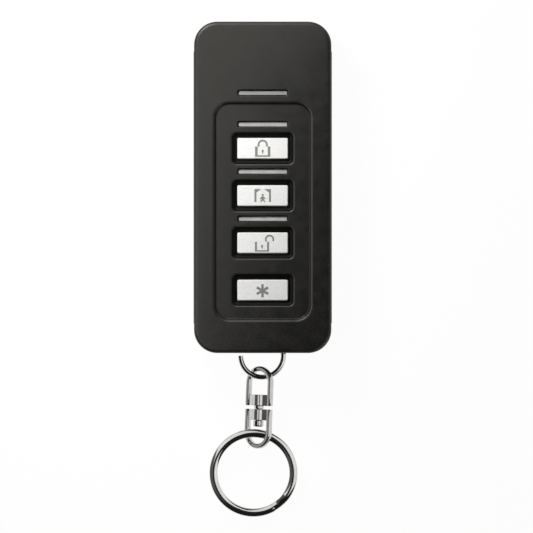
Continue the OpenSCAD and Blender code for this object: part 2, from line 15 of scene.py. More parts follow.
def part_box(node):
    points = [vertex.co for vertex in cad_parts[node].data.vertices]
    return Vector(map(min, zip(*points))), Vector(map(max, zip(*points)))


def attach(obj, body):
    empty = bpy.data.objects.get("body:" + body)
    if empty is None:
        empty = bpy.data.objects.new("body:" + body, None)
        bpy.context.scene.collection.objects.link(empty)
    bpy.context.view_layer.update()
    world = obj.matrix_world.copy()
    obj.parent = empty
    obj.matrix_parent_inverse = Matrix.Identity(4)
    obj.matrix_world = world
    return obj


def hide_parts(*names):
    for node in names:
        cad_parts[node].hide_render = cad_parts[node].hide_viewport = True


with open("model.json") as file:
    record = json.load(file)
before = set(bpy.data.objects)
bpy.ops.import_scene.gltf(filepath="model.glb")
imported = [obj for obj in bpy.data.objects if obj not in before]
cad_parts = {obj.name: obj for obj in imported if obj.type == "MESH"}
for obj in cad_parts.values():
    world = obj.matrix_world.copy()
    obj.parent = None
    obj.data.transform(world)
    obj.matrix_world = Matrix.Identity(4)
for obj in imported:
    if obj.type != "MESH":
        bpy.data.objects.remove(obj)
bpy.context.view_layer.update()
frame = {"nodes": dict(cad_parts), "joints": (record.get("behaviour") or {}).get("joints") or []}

MM = 0.001
NODES = frame["nodes"]
JOINTS = {j["name"]: j for j in frame["joints"]}
print("nodes:", len(NODES), "joints:", len(JOINTS))

# %% [markdown]
# The camera comes first, because everything is judged through it. The photograph looks straight down on a
# fob that lies on its back. A long lens far away keeps the view almost flat. The frame is 533 pixels wide and
# one pixel is 0.2273 mm of the object, which gives the lens and the place of the camera.

# %% Camera
PIXEL = 0.2273 * MM
FRAME_PX = 533
CASE_MIDDLE_PX = (262.7, 187.4)
CAMERA_HEIGHT = 4.0
SENSOR_MM = 36.0
VIEW_LEVEL = 7.0 * MM
CLIP_START, CLIP_END = 0.05, 10.0


def make_camera():
    data = bpy.data.cameras.new("photo_camera")
    data.sensor_width = SENSOR_MM
    data.lens = SENSOR_MM * (CAMERA_HEIGHT - VIEW_LEVEL) / (FRAME_PX * PIXEL)
    data.clip_start = CLIP_START
    data.clip_end = CLIP_END
    camera = bpy.data.objects.new("photo_camera", data)
    bpy.context.scene.collection.objects.link(camera)
    camera.location = (
        (FRAME_PX / 2 - CASE_MIDDLE_PX[0]) * PIXEL,
        (CASE_MIDDLE_PX[1] - FRAME_PX / 2) * PIXEL,
        CAMERA_HEIGHT,
    )
    bpy.context.scene.camera = camera
    return camera


camera = make_camera()
print("lens", round(camera.data.lens, 1), "mm, at", [round(c, 4) for c in camera.location])

# %% [markdown]
# Moulded plastic has no knife edges: every rim is a small arc that catches the light. So the visible shells
# are lofted. A rounded rectangle is drawn again and again at small insets and heights, and the path of those
# insets is a plain polyline whose corners are eased into arcs. Flat stretches between rims are filled last.

# %% Lofting helpers
CORNER_STEPS = 12
ARC_SHARE = 0.49  # of a stretch that one of its two arcs may use up
LEAST_R = 0.02


def rounded_loop(w, l, r, steps=CORNER_STEPS):
    """Points of a rounded rectangle round the origin, counter-clockwise."""
    points = []
    for quarter in range(4):
        sx = 1 if quarter in (0, 3) else -1
        sy = 1 if quarter in (0, 1) else -1
        for i in range(steps + 1):
            a = math.pi / 2 * (quarter + i / steps)
            points.append((sx * (w / 2 - r) + r * math.cos(a), sy * (l / 2 - r) + r * math.sin(a)))
    return points


def eased(path, radii, steps=5):
    """The path with each of its inner corners turned into an arc of the given radius."""
    out = [tuple(path[0])]
    for before, corner, after, radius in zip(path, path[1:], path[2:], radii):
        c = Vector(corner)
        a, b = Vector(before) - c, Vector(after) - c
        half = a.angle(b) / 2
        reach = min(radius / math.tan(half), ARC_SHARE * a.length, ARC_SHARE * b.length)
        a.normalize()
        b.normalize()
        middle = c + (a + b).normalized() * (reach / math.cos(half))
        u, v = c + a * reach - middle, c + b * reach - middle
        start = math.atan2(u.y, u.x)
        turn = math.atan2(u.x * v.y - u.y * v.x, u.dot(v))
        for i in range(steps + 1):
            t = start + turn * i / steps
            out.append((middle.x + u.length * math.cos(t), middle.y + u.length * math.sin(t)))
    return out + [tuple(path[-1])]


def with_bands(path, first=True, last=False, width=0.06):
    """Adds a narrow flat band at an end of the path, so that the flat beside it stays truly flat."""
    head = [(path[0][0] - width, path[0][1])] if first else []
    tail = [(path[-1][0] + width, path[-1][1])] if last else []
    return head + list(path) + tail


def bridge(bm, low, high):
    n = len(low)
    for i in range(n):
        bm.faces.new((low[i], low[(i + 1) % n], high[(i + 1) % n], high[i]))


def loft(bm, w, l, r, path, at=(0, 0), steps=CORNER_STEPS):
    """Rings of a rounded rectangle along a path of (inset, height), joined by faces. All in millimetres."""
    rings = []
    for inset, z in path:
        loop = rounded_loop(w - 2 * inset, l - 2 * inset, max(r - inset, LEAST_R), steps)
        rings.append([bm.verts.new(((x + at[0]) * MM, (y + at[1]) * MM, z * MM)) for x, y in loop])
    for low, high in zip(rings, rings[1:]):
        bridge(bm, low, high)
    return rings


def fill_flat(bm, rings):
    """Fills the flat stretch between these rings: the first is its outline, the others are holes in it."""
    bm.edges.ensure_lookup_table()
    edges = []
    for ring in rings:
        for i, v in enumerate(ring):
            w = ring[(i + 1) % len(ring)]
            edges.append(bm.edges.get((v, w)) or bm.edges.new((v, w)))
    bmesh.ops.triangle_fill(bm, edges=edges, use_beauty=True, use_dissolve=False)


def finish_piece(bm, name, material, sharp_deg=38):
    """Turns the mesh in bm into a smooth-shaded object whose flats keep their own normals."""
    bmesh.ops.recalc_face_normals(bm, faces=bm.faces)
    mesh = bpy.data.meshes.new(name)
    bm.to_mesh(mesh)
    bm.free()
    mesh.shade_smooth()
    mesh.set_sharp_from_angle(angle=math.radians(sharp_deg))
    piece = bpy.data.objects.new(name, mesh)
    bpy.context.scene.collection.objects.link(piece)
    weighted = piece.modifiers.new("flat_normals", "WEIGHTED_NORMAL")
    weighted.keep_sharp = True
    piece.data.materials.append(material)
    print(name, len(mesh.vertices), "vertices")
    return piece


def box_mm(node):
    """A node's lowest corner, highest corner and middle, in millimetres."""
    low, high = (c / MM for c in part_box(node))
    return low, high, (low + high) / 2


# %% [markdown]
# Finishes share three effects, so each is a shader node group. Grain gives the fine pebble of a moulded or
# painted surface. Patches are broad cloudy differences, such as handling marks. Scratches are fine lines that
# run mostly one way. A group only puts out values; the shader itself stays in each material.

# %% Node groups for grain, patches and scratches


def new_group(name, inputs, outputs):
    tree = bpy.data.node_groups.new(name, "ShaderNodeTree")
    for label, value in inputs:
        socket = tree.interface.new_socket(label, in_out="INPUT", socket_type="NodeSocketFloat")
        socket.default_value = value
    for label in outputs:
        tree.interface.new_socket(label, in_out="OUTPUT", socket_type="NodeSocketFloat")
    return tree, tree.nodes.new("NodeGroupInput"), tree.nodes.new("NodeGroupOutput")


def add_node(tree, kind, **values):
    node = tree.nodes.new(kind)
    for key, value in values.items():
        setattr(node, key, value)
    return node


def math_node(tree, operation, a, b):
    """A maths node fed by sockets or plain numbers; returns its result."""
    node = add_node(tree, "ShaderNodeMath", operation=operation)
    for i, value in enumerate((a, b)):
        if isinstance(value, (int, float)):
            node.inputs[i].default_value = value
        else:
            tree.links.new(value, node.inputs[i])
    return node.outputs[0]


def noise(tree, vector, scale, detail):
    node = add_node(tree, "ShaderNodeTexNoise")
    tree.links.new(vector, node.inputs["Vector"])
    tree.links.new(scale, node.inputs["Scale"])
    node.inputs["Detail"].default_value = detail
    return node.outputs["Fac"]


def make_surface_group():
    tree, given, result = new_group(
        "surface_grain", [("Grain mm", 0.12), ("Patch mm", 9.0)], ["Grain", "Patches"])
    place = add_node(tree, "ShaderNodeTexCoord").outputs["Object"]
    for label, out, detail in (("Grain mm", "Grain", 2.0), ("Patch mm", "Patches", 3.0)):
        scale = math_node(tree, "DIVIDE", 1.0 / MM, given.outputs[label])
        tree.links.new(noise(tree, place, scale, detail), result.inputs[out])
    return tree


def make_scratch_group():
    tree, given, result = new_group(
        "fine_scratches", [("Line mm", 0.06), ("Stretch", 30.0)], ["Scratches"])
    place = add_node(tree, "ShaderNodeTexCoord").outputs["Object"]
    squeeze = add_node(tree, "ShaderNodeCombineXYZ")
    tree.links.new(math_node(tree, "DIVIDE", 1.0, given.outputs["Stretch"]), squeeze.inputs["X"])
    squeeze.inputs["Y"].default_value = 1.0
    squeeze.inputs["Z"].default_value = 1.0
    stretched = add_node(tree, "ShaderNodeVectorMath", operation="MULTIPLY")
    tree.links.new(place, stretched.inputs[0])
    tree.links.new(squeeze.outputs[0], stretched.inputs[1])
    scale = math_node(tree, "DIVIDE", 1.0 / MM, given.outputs["Line mm"])
    tree.links.new(noise(tree, stretched.outputs[0], scale, 2.0), result.inputs["Scratches"])
    return tree


GRAIN = make_surface_group()
SCRATCH = make_scratch_group()
print("groups:", GRAIN.name, SCRATCH.name)

# %% [markdown]
# A finish starts from a Principled shader with its plain numbers set on its own sockets. What changes over
# the surface comes from the groups: a colour ramp between two close tones, a spread of roughness, and a bump.

# %% Helpers for finishes
RAMP_LOW, RAMP_HIGH = 0.35, 0.65
NOISE_LOW, NOISE_HIGH = 0.3, 0.7


def new_finish(name, metallic=0.0, **sockets):
    material = bpy.data.materials.new(name)
    material.use_nodes = True
    shader = material.node_tree.nodes["Principled BSDF"]
    shader.inputs["Metallic"].default_value = metallic
    for label, value in sockets.items():
        shader.inputs[label.replace("_", " ")].default_value = value
    return material, material.node_tree, shader


def place_group(tree, group, **values):
    node = add_node(tree, "ShaderNodeGroup", node_tree=group)
    for label, value in values.items():
        node.inputs[label.replace("_", " ")].default_value = value
    return node


def tone(tree, shader, value, dark, light):
    """Base colour between two tones, led by a value."""
    ramp = add_node(tree, "ShaderNodeValToRGB")
    stops = ((RAMP_LOW, dark), (RAMP_HIGH, light))
    for element, (position, colour) in zip(ramp.color_ramp.elements, stops):
        element.position = position
        element.color = (*colour, 1.0)
    tree.links.new(value, ramp.inputs[0])
    tree.links.new(ramp.outputs[0], shader.inputs["Base Color"])


def spread(tree, shader, value, low, high):
    """Maps the range in which a noise mostly stays on to a range of roughness."""
    node = add_node(tree, "ShaderNodeMapRange")
    node.inputs["From Min"].default_value = NOISE_LOW
    node.inputs["From Max"].default_value = NOISE_HIGH
    node.inputs["To Min"].default_value = low
    node.inputs["To Max"].default_value = high
    tree.links.new(value, node.inputs["Value"])
    tree.links.new(node.outputs[0], shader.inputs["Roughness"])


def relief(tree, shader, value, depth_mm, strength):
    """Bumps the surface by a value, so that it scatters its reflections."""
    bump = add_node(tree, "ShaderNodeBump")
    bump.inputs["Strength"].default_value = strength
    bump.inputs["Distance"].default_value = depth_mm * MM
    tree.links.new(value, bump.inputs["Height"])
    tree.links.new(bump.outputs[0], shader.inputs["Normal"])


# %% [markdown]
# The case is a black, finely textured plastic: not a mirror, but a soft sheen that brightens towards the
# light. The texture is a pebble of about a quarter of a millimetre, and handling leaves small cloudy gloss
# patches. Deep in the key wells the plastic gets a darker tone and a weaker sheen: this is painted shade,
# which makes the wells blacker than the lamps make them.

# %% Case plastic


def make_case_plastic():
    material, tree, shader = new_finish(
        "case_plastic", Specular_IOR_Level=0.42, Specular_Tint=(1.0, 0.985, 0.94, 1.0))
    grain = place_group(tree, GRAIN, Grain_mm=0.26, Patch_mm=2.4)
    tone(tree, shader, grain.outputs["Patches"], (0.0022, 0.0022, 0.0020), (0.0032, 0.0031, 0.0029))
    spread(tree, shader, grain.outputs["Patches"], 0.39, 0.47)
    relief(tree, shader, grain.outputs["Grain"], 0.03, 0.6)
    return material


# Painted shade: a darker tone and a weaker sheen for the faces deep in the key wells.
def make_well_shade_plastic():
    material, tree, shader = new_finish("well_painted_shade", Specular_IOR_Level=0.09)
    grain = place_group(tree, GRAIN, Grain_mm=0.2, Patch_mm=2.0)
    tone(tree, shader, grain.outputs["Patches"], (0.0016, 0.0016, 0.0015), (0.0024, 0.0024, 0.0022))
    spread(tree, shader, grain.outputs["Grain"], 0.52, 0.6)
    return material


CASE_PLASTIC = make_case_plastic()
WELL_SHADE_PLASTIC = make_well_shade_plastic()
print("finishes:", CASE_PLASTIC.name, WELL_SHADE_PLASTIC.name)

# %% [markdown]
# The keys are plastic with a satin silver paint. Its metal flakes make a slight sparkle, seen here as a
# grain in the tone with small patches of gloss. The pictures are a flat grey print. The sides below the
# paint are black: partly bare plastic, partly painted shade that keeps the gap round a key dark.

# %% Key paint and print


def make_key_paint():
    material, tree, shader = new_finish("key_silver_paint")
    grain = place_group(tree, GRAIN, Grain_mm=0.2, Patch_mm=0.8)
    tone(tree, shader, grain.outputs["Grain"], (0.74, 0.74, 0.735), (0.86, 0.86, 0.855))
    spread(tree, shader, grain.outputs["Patches"], 0.36, 0.48)
    relief(tree, shader, grain.outputs["Patches"], 0.02, 0.4)
    return material


def make_key_print():
    material, tree, shader = new_finish("key_print")
    grain = place_group(tree, GRAIN, Grain_mm=0.09, Patch_mm=1.5)
    tone(tree, shader, grain.outputs["Grain"], (0.195, 0.195, 0.19), (0.235, 0.235, 0.23))
    spread(tree, shader, grain.outputs["Patches"], 0.5, 0.6)
    return material


# Black for the key's lower sides and flange: partly bare plastic, partly painted shade for the gap.
def make_key_side_shade():
    material, tree, shader = new_finish("key_side_painted_shade")
    grain = place_group(tree, GRAIN, Grain_mm=0.2, Patch_mm=2.0)
    tone(tree, shader, grain.outputs["Patches"], (0.004, 0.004, 0.004), (0.006, 0.006, 0.006))
    spread(tree, shader, grain.outputs["Patches"], 0.5, 0.6)
    return material


KEY_PAINT = make_key_paint()
KEY_PRINT = make_key_print()
KEY_SIDE_SHADE = make_key_side_shade()
print("finishes:", KEY_PAINT.name, KEY_PRINT.name, KEY_SIDE_SHADE.name)

# %% [markdown]
# The light bars are milky grey light guides, a little glossy, and unlit here.

# %% Light guide


def make_light_guide():
    material, tree, shader = new_finish("light_guide")
    grain = place_group(tree, GRAIN, Grain_mm=0.3, Patch_mm=2.5)
    tone(tree, shader, grain.outputs["Patches"], (0.44, 0.445, 0.445), (0.52, 0.525, 0.525))
    spread(tree, shader, grain.outputs["Patches"], 0.3, 0.4)
    relief(tree, shader, grain.outputs["Grain"], 0.004, 0.2)
    return material


LIGHT_GUIDE = make_light_guide()
print("finish:", LIGHT_GUIDE.name)

# %% [markdown]
# The chain is nickel-plated steel, polished but handled: it mirrors the room in hard black and white bands,
# with fine scratches and a slight waviness that break the bands up.

# %% Chain plating


def make_plating():
    material, tree, shader = new_finish("chain_plating", metallic=1.0)
    grain = place_group(tree, GRAIN, Grain_mm=0.8, Patch_mm=3.0)
    lines = place_group(tree, SCRATCH, Line_mm=0.05, Stretch=14.0)
    tone(tree, shader, grain.outputs["Patches"], (0.56, 0.555, 0.545), (0.64, 0.635, 0.625))
    spread(tree, shader, lines.outputs["Scratches"], 0.07, 0.14)
    relief(tree, shader, grain.outputs["Grain"], 0.004, 0.25)
    return material


PLATING = make_plating()
print("finish:", PLATING.name)

# %% [markdown]
# The front shell is one moulding. Its loft climbs the side wall, rolls over the front edge, which is crowned
# by a hair, and stops at the face. Other lofts sink the panel, the four key wells and the four light slots
# into it, each with a soft lip. The flats between them are filled, and an inner skin closes the shell, so
# that the mesh is a real thin-walled moulding. A path starts and ends with a run that only gives the
# direction of its first and last arc.

# %% Front shell
CORNER_R = 5.3
PART_EDGE, PART_EDGE_R = 0.15, 0.1
FACE_EDGE_R, FACE_CROWN, CROWN_W, CROWN_R = 0.85, 0.05, 1.8, 40.0
WALL = 1.5
SIDE_MARGIN, TOP_MARGIN, BOTTOM_MARGIN = 4.2, 18.0, 7.0
PANEL_R, PANEL_DEPTH = 3.9, 0.75
LIP_IN, LIP_SLOPE, PANEL_LIP_R, PANEL_FOOT_R = 0.36, 0.45, 0.85, 0.15
PLATE_T = 1.7
KEY_GAP, WELL_SLOPE, WELL_FLOOR, WELL_DEPTH, WELL_R = 0.45, 0.4, 0.45, 0.75, 1.1
WELL_LIP_R, WELL_FOOT_R, OPENING_EDGE_R, WELL_DISH, WELL_RIM = 0.6, 0.3, 0.08, 0.22, 0.12
FLANGE_INSET = 0.85
BAR_GAP, BAR_FLANGE, BAR_SINK, BAR_R = 0.06, 0.45, 0.45, 0.3
SLOT_SLOPE, SLOT_DEPTH, SLOT_LIP_R, SLOT_FOOT_R = 0.07, 0.4, 0.12, 0.04
RUN_IN, RUN_OUT, SLOT_RUN, FACE_RUN = 1.0, 3.0, 0.5, 4.0
KEYS = ("lock", "home", "unlock", "star")
BARS = ("status", "lock", "home", "unlock")

shell_low, shell_high, _ = box_mm("front_shell")
body_w, body_l = shell_high.x - shell_low.x, shell_high.y - shell_low.y
part_z, face_z = shell_low.z, shell_high.z
panel_z = face_z - PANEL_DEPTH
plate_z = panel_z - PLATE_T
panel_l = body_l - TOP_MARGIN - BOTTOM_MARGIN
panel_y = shell_high.y - TOP_MARGIN - panel_l / 2
print("case", round(body_w, 2), "by", round(body_l, 2), "panel at", round(panel_z, 2))


def loft_outside(bm):
    path = eased([
        (PART_EDGE, part_z), (0.0, part_z + PART_EDGE), (0.0, face_z - FACE_CROWN), (CROWN_W, face_z),
        (FACE_RUN, face_z),
    ], [PART_EDGE_R, FACE_EDGE_R, CROWN_R], steps=7)[:-1]
    return loft(bm, body_w, body_l, CORNER_R, with_bands(path, first=False, last=True))


def loft_panel(bm):
    path = eased([
        (-RUN_IN, face_z), (LIP_IN, face_z), (LIP_IN + LIP_SLOPE, panel_z), (RUN_OUT, panel_z),
    ], [PANEL_LIP_R, PANEL_FOOT_R], steps=7)[1:-1]
    return loft(bm, body_w - 2 * SIDE_MARGIN, panel_l, PANEL_R, with_bands(path, last=True),
                at=(0, panel_y), steps=16)


def loft_well(bm, key):
    low, high, mid = box_mm(f"{key}_button")
    opening = WELL_SLOPE + WELL_FLOOR
    margin = KEY_GAP + opening - FLANGE_INSET
    floor_z = panel_z - WELL_DEPTH
    path = eased([
        (-RUN_IN, panel_z), (0.0, panel_z), (WELL_SLOPE, floor_z + WELL_DISH), (opening, floor_z),
        (opening, plate_z),
    ], [WELL_LIP_R, WELL_FOOT_R, OPENING_EDGE_R], steps=6)[1:]
    return loft(bm, high.x - low.x + 2 * margin, high.y - low.y + 2 * margin, WELL_R, with_bands(path),
                at=(0, mid.y), steps=8)


def loft_slot(bm, bar):
    low, high, mid = box_mm(f"{bar}_light_bar")
    margin = BAR_GAP + SLOT_SLOPE - BAR_FLANGE
    top = high.z + BAR_SINK
    path = eased([
        (-SLOT_RUN, top), (0.0, top), (SLOT_SLOPE, top - SLOT_DEPTH), (SLOT_SLOPE, plate_z),
    ], [SLOT_LIP_R, SLOT_FOOT_R], steps=3)[1:]
    return loft(bm, high.x - low.x + 2 * margin, high.y - low.y + 2 * margin, BAR_R + BAR_GAP + SLOT_SLOPE,
                with_bands(path), at=(0, mid.y), steps=8)


def make_front_shell():
    bm = bmesh.new()
    outer = loft_outside(bm)
    inner = loft(bm, body_w, body_l, CORNER_R, [(WALL, plate_z), (WALL, part_z)])
    panel = loft_panel(bm)
    wells = [loft_well(bm, key) for key in KEYS]
    slots = [loft_slot(bm, bar) for bar in BARS]
    # The first bar is on the face, above the panel, and the others are in the panel.
    face_holes = [panel[0], slots[0][0]]
    floor_holes = [hole[0] for hole in wells + slots[1:]]
    under_holes = [hole[-1] for hole in wells + slots]
    fill_flat(bm, [outer[-1], *face_holes])
    fill_flat(bm, [panel[-1], *floor_holes])
    fill_flat(bm, [inner[0], *under_holes])
    bridge(bm, outer[0], inner[-1])
    piece = finish_piece(bm, "front_shell_moulding", CASE_PLASTIC)
    piece.data.materials.append(WELL_SHADE_PLASTIC)
    # Faces below the panel's floor, inside its outline, get the second finish, which is painted shade.
    for face in piece.data.polygons:
        x, y, z = face.center / MM
        in_panel = abs(x) < body_w / 2 - SIDE_MARGIN and abs(y - panel_y) < panel_l / 2
        face.material_index = int(in_panel and z < panel_z - WELL_RIM)
    return piece


front = make_front_shell()
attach(front, "case")
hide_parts("front_shell")

# %% [markdown]
# Each key is a cap on a wider flange that keeps it in the case. The cap has a narrow bevel, and each of its
# edges is eased a little so that the rim shows as a bright line. The silver paint stops a little way down the
# sides, and the sides and the flange below it are black: partly bare plastic, partly painted shade that keeps
# the gap round a key dark. A pressed flange stops a hair short of its switch.

# %% Keys
KEY_CORNER_R = 0.35
KEY_BEVEL = 0.15
KEY_EDGE_RADII = [0.1, 0.1, 0.01, 0.06, 0.1]
KEY_FLANGE_T, STOP_RELIEF = 0.7, 0.02
PAINT_EDGE = 0.17


def make_key(key):
    low, high, mid = box_mm(f"{key}_button")
    flange_z, paint_z = low.z + KEY_FLANGE_T, high.z - PAINT_EDGE
    path = eased([
        (0.0, low.z + STOP_RELIEF), (0.0, flange_z), (FLANGE_INSET, flange_z), (FLANGE_INSET, paint_z),
        (FLANGE_INSET, high.z - KEY_BEVEL), (FLANGE_INSET + KEY_BEVEL, high.z), (RUN_OUT, high.z),
    ], KEY_EDGE_RADII, steps=3)[:-1]
    bm = bmesh.new()
    rings = loft(bm, high.x - low.x, high.y - low.y, KEY_CORNER_R + FLANGE_INSET,
                 with_bands(path, first=False, last=True), at=(mid.x, mid.y), steps=5)
    bm.faces.new(rings[0])
    bm.faces.new(rings[-1])
    piece = finish_piece(bm, f"{key}_key_cap", KEY_PAINT)
    piece.data.materials.append(KEY_SIDE_SHADE)
    # Faces below the paint line get the black side finish, partly painted shade.
    for face in piece.data.polygons:
        face.material_index = int(face.center.z < paint_z * MM)
    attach(piece, f"{key}_key")
    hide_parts(f"{key}_button")


for key in KEYS:
    make_key(key)

# %% [markdown]
# The pictures are common signs: a shut padlock, a person in a house, an open padlock and a star. Each is a
# few flat outlines, raised by the thickness of a print so that they never flicker against the key.

# %% Key pictures
PRINT_T = 0.02
PRINT_SHARP_DEG = 20


def arc(cx, cy, r, start_deg, end_deg, steps=18):
    angles = [math.radians(start_deg + (end_deg - start_deg) * i / steps) for i in range(steps + 1)]
    return [(cx + r * math.cos(a), cy + r * math.sin(a)) for a in angles]


def band(cx, cy, outer, inner, start_deg, end_deg):
    """Outline of a piece of a ring."""
    return arc(cx, cy, outer, start_deg, end_deg) + arc(cx, cy, inner, end_deg, start_deg)


def mirrored(outline):
    return [(-x, y) for x, y in reversed(outline)]


def keyhole(cx, cy, r):
    return arc(cx, cy, r, -40, 220) + [(cx, cy - 3.2 * r)]


def shut_padlock():
    side, half, base, bottom = 0.6, 1.74, -1.92, 0.36
    shackle_r, wire = 1.16, 0.42
    shackle_y, shoulder = 0.82, 0.42
    shackle = (
        [(shackle_r, shoulder)] + arc(0, shackle_y, shackle_r, 0, 180) + [(-shackle_r, shoulder)]
        + [(-shackle_r + wire, shoulder)] + arc(0, shackle_y, shackle_r - wire, 180, 0)
        + [(shackle_r - wire, shoulder)]
    )
    body = [
        (-half, base), (half, base), (half, shoulder), (half - side, shoulder),
        (half - side, base + bottom), (-half + side, base + bottom), (-half + side, shoulder),
        (-half, shoulder),
    ]
    return [shackle, body, keyhole(0, -0.55, 0.26)]


def house_and_person():
    wall_side = [(-1.88, -1.45), (-1.42, -1.45), (-1.42, 0.72), (-0.32, 1.5), (-1.88, 1.5)]
    head = arc(0, 0.14, 0.27, 0, 345, 23)
    figure = [
        (-0.22, -0.18), (-0.66, -0.66), (-0.50, -0.88), (-0.27, -0.66), (-0.27, -0.92), (-0.62, -1.34),
        (-0.36, -1.48), (0.0, -1.06), (0.36, -1.48), (0.62, -1.34), (0.27, -0.92), (0.27, -0.66),
        (0.50, -0.88), (0.66, -0.66), (0.22, -0.18),
    ]
    return [wall_side, mirrored(wall_side), head, figure]


def open_padlock():
    left, right, base, shoulder, side, bottom = -1.77, 1.45, -1.98, 0.25, 0.46, 0.32
    body = [
        (left, base), (right, base), (right, shoulder), (right - side, shoulder),
        (right - side, base + bottom), (left + side, base + bottom), (left + side, shoulder),
        (left, shoulder),
    ]
    return [body, band(1.56, 0.80, 1.06, 0.66, -28, 212), keyhole(-0.16, -0.72, 0.25)]


def star():
    arms, arm_w, reach = 6, 0.56, 1.5
    cx, cy = -0.05, -0.13
    outline = []
    for k in range(arms):
        a = math.radians(90 + 60 * k)
        along, across = Vector((math.cos(a), math.sin(a))), Vector((-math.sin(a), math.cos(a)))
        notch = a + math.radians(30)
        for p in (along * reach - across * arm_w / 2, along * reach + across * arm_w / 2,
                  Vector((math.cos(notch), math.sin(notch))) * arm_w):
            outline.append((cx + p.x, cy + p.y))
    return [outline]


def make_picture(key, outlines):
    _, high, mid = box_mm(f"{key}_button")
    bm = bmesh.new()
    for outline in outlines:
        rings = []
        for z in (high.z - PRINT_T / 2, high.z + PRINT_T):
            rings.append([bm.verts.new(((x + mid.x) * MM, (y + mid.y) * MM, z * MM)) for x, y in outline])
        bridge(bm, *rings)
        bm.faces.new(rings[0])
        bm.faces.new(rings[1])
    piece = finish_piece(bm, f"{key}_key_picture", KEY_PRINT, PRINT_SHARP_DEG)
    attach(piece, f"{key}_key")


PICTURES = {"lock": shut_padlock, "home": house_and_person, "unlock": open_padlock, "star": star}
for key, draw in PICTURES.items():
    make_picture(key, draw())

# %% [markdown]
# A light bar is a flat light guide with softened top edges. Its flange lies under the plate. It is a hair
# narrower than its slot and has slid to the slot's lower edge, which leaves a black line above it.

# %% Light bars
BAR_TRIM = 0.1
BAR_SHIFT = (0.04, -0.08)
BAR_FLANGE_T = 0.6
BAR_RUN = 0.3
BAR_EDGE_RADII = [0.05, 0.05, 0.1]


def make_bar(bar):
    low, high, mid = box_mm(f"{bar}_light_bar")
    side, flange_z = BAR_FLANGE + BAR_TRIM, low.z + BAR_FLANGE_T
    path = eased([
        (0.0, low.z), (0.0, flange_z), (side, flange_z), (side, high.z), (side + BAR_RUN, high.z),
    ], BAR_EDGE_RADII, steps=4)[:-1]
    bm = bmesh.new()
    rings = loft(bm, high.x - low.x, high.y - low.y, BAR_R + BAR_FLANGE,
                 with_bands(path, first=False, last=True),
                 at=(mid.x + BAR_SHIFT[0], mid.y + BAR_SHIFT[1]), steps=8)
    bm.faces.new(rings[0])
    bm.faces.new(rings[-1])
    piece = finish_piece(bm, f"{bar}_light_guide", LIGHT_GUIDE)
    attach(piece, "case")
    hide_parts(f"{bar}_light_bar")
    return piece


light_guides = [make_bar(bar) for bar in BARS]

# %% [markdown]
# The chain hangs from the case in its own frame, which the joints give: the swivel's axis is the line down
# the chain, and the upper link swings about the line across it. A sweep draws a wire: a cross-section is
# repeated along frames of (middle, outward, sideways, scale), and its ends are closed.

# %% Chain frame and sweeping
UPPER_BASE, LINK_GAP = -6.5, 0.8
LOWER_BASE = UPPER_BASE - LINK_GAP
chain_up = -Vector(JOINTS["swivel_turn"]["axis"])
chain_side = -Vector(JOINTS["upper_link_swing"]["axis"])
chain_origin = Vector(JOINTS["swivel_turn"]["pos_m"]) - chain_up * LOWER_BASE * MM
CHAIN = Matrix((chain_side, chain_up, chain_side.cross(chain_up))).transposed().to_4x4()
CHAIN.translation = chain_origin


def sweep(bm, frames, section, place=Matrix.Identity(4)):
    """Joins a section along frames of (middle, outward, sideways, scale), in millimetres, and caps it."""
    rings = []
    for middle, outward, sideways, scale in frames:
        ring = [place @ ((middle + outward * a * scale + sideways * b * scale) * MM) for a, b in section]
        rings.append([bm.verts.new(p) for p in ring])
    for low, high in zip(rings, rings[1:]):
        bridge(bm, low, high)
    bm.faces.new(rings[0])
    bm.faces.new(rings[-1])


def oval_section(w, t, steps=36):
    angles = [2 * math.pi * i / steps for i in range(steps)]
    return [(w / 2 * math.cos(a), t / 2 * math.sin(a)) for a in angles]


def circle_section(d, steps=28):
    return oval_section(d, d, steps)


def dress_chain(piece, body, *nodes):
    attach(piece, body)
    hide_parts(*nodes)
    return piece


print("chain from", [round(c / MM, 2) for c in chain_origin], "mm")

# %% [markdown]
# The case ring is an open ring of round wire. Its cut end shows below the case, so both ends are square cuts
# with a slightly broken edge.

# %% Case ring
RING_WIRE = 1.2
RING_SPLIT_DEG = 30
RING_STEPS = 120
CUT_EDGE, CUT_SCALE = 0.08, 0.88


def make_case_ring():
    low, high, mid = box_mm("case_ring")
    radius = (high.y - low.y - RING_WIRE) / 2
    edge = math.degrees(CUT_EDGE / radius)
    start, end = 180.0, 540.0 - RING_SPLIT_DEG
    step = (end - start - 2 * edge) / RING_STEPS
    stops = [start, *(start + edge + step * i for i in range(RING_STEPS + 1)), end]
    frames = []
    for deg in stops:
        a = math.radians(deg)
        out = Vector((math.cos(a), math.sin(a), 0))
        scale = CUT_SCALE if deg in (start, end) else 1.0
        frames.append((mid + out * radius, out, Vector((0, 0, 1)), scale))
    bm = bmesh.new()
    sweep(bm, frames, circle_section(RING_WIRE))
    return dress_chain(finish_piece(bm, "case_wire_ring", PLATING), "ring", "case_ring")


case_ring = make_case_ring()

# %% [markdown]
# A swivel link is a strap bent into a hoop, with a base that closes it and a round hub for the pin. The
# strap is swept along two legs and an arch; the base is a crowned section that is swept too, and the hub
# is a loft with eased edges. The pin is turned: a profile of radius and height, drawn round its axis.

